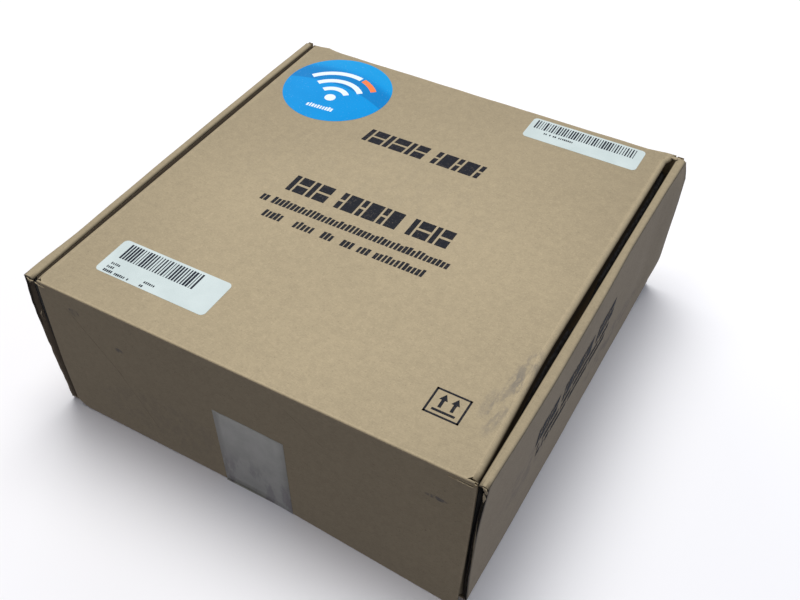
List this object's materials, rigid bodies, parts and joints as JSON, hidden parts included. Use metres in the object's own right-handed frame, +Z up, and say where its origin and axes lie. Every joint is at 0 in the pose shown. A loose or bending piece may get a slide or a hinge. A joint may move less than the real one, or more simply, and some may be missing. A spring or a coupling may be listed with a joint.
{
  "type": "boxed surge protector",
  "caption": "Kraft corrugated mailer carton with a hinged lid, taped front flap and foam end caps, holding a network surge protector with a rocker switch and a reset button.",
  "frame": {"origin": "centre of the carton underside, on the surface it stands on", "axes": "+Z up, +X to the right seen from the taped front, +Y to the back edge where the lid is hinged"},
  "size_m": [0.288, 0.2881, 0.1131],
  "materials": {
    "kraft_board": "unbleached kraft corrugated board",
    "tape": "translucent packing tape",
    "label_paper": "bluish white label",
    "sticker_vinyl": "blue printed sticker",
    "foam": "white expanded foam",
    "black_steel": "black powder coat",
    "black_plastic": "moulded black",
    "plated_steel": "zinc plated",
    "contact_brass": "bare",
    "red_plastic": "moulded red",
    "foot_rubber": "soft",
    "lens_plastic": "tinted lens",
    "circuit_board": "green solder mask",
    "blue_plastic": "epoxy coated",
    "choke_winding": "enamelled wire",
    "yellow_plastic": "moulded yellow",
    "fuse_ceramic": "white tube",
    "white_card": "white faced card",
    "bracket_steel": "black powder coat",
    "guide_paper": "folded leaflet"
  },
  "bodies": {
    "carton": {"accessory_carton_cover": "white_card", "accessory_carton_tray": "white_card", "auxiliary_power_supply": "blue_plastic", "back_wall": "kraft_board", "base_panel": "kraft_board", "board_standoffs": "plated_steel", "bracket_screws": "plated_steel", "breaker_body": "black_plastic", "breaker_nut": "plated_steel", "bus_bars": "contact_brass", "chassis_base": "black_steel", "chassis_cover": "black_steel", "corner_flap_back_left": "kraft_board", "corner_flap_back_right": "kraft_board", "corner_flap_front_left": "kraft_board", "corner_flap_front_right": "kraft_board", "cover_screws": "plated_steel", "foam_cap_left": "foam", "foam_cap_right": "foam", "front_wall": "kraft_board", "ground_stud": "plated_steel", "inlet_pins": "plated_steel", "left_inner_wall": "kraft_board", "left_outer_wall": "kraft_board", "left_roll_edge": "kraft_board", "line_filter_capacitor": "yellow_plastic", "line_filter_choke": "choke_winding", "line_fuse": "fuse_ceramic", "main_circuit_board": "circuit_board", "mounting_brackets": "bracket_steel", "network_jack": "black_plastic", "network_jack_contacts": "contact_brass", "power_inlet": "black_plastic", "quick_guide": "guide_paper", "receptacle_1": "black_plastic", "receptacle_2": "black_plastic", "receptacle_3": "black_plastic", "receptacle_4": "black_plastic", "receptacle_5": "black_plastic", "relays": "black_plastic", "right_inner_wall": "kraft_board", "right_outer_wall": "kraft_board", "right_roll_edge": "kraft_board", "rubber_feet": "foot_rubber", "sealing_tape_base": "tape", "status_lights": "lens_plastic", "switch_frame": "black_plastic", "varistors": "blue_plastic"},
    "lid": {"lid_panel": "kraft_board", "lid_left_dust_flap": "kraft_board", "lid_right_dust_flap": "kraft_board", "barcode_label_near": "label_paper", "barcode_label_far": "label_paper", "round_sticker": "sticker_vinyl"},
    "front_flap": {"lid_front_flap": "kraft_board", "sealing_tape_flap": "tape"},
    "rocker": {"switch_rocker": "black_plastic"},
    "reset": {"reset_button": "red_plastic"}
  },
  "joints": [
    {"name": "lid_hinge", "type": "hinge", "parent": "carton", "child": "lid", "pos_m": [0, 0.144, 0.113], "axis": [-1, 0, 0], "range_deg": [0, 180]},
    {"name": "front_flap_hinge", "type": "hinge", "parent": "lid", "child": "front_flap", "pos_m": [0, -0.144, 0.113], "axis": [-1, 0, 0], "range_deg": [0, 180]},
    {"name": "rocker_switch", "type": "hinge", "parent": "carton", "child": "rocker", "pos_m": [-0.062, -0.079, 0.056], "axis": [-1, 0, 0], "range_deg": [0, 20]},
    {"name": "reset_button", "type": "slide", "parent": "carton", "child": "reset", "axis": [0, 1, 0], "range_m": [0, 0.0035]}
  ]
}
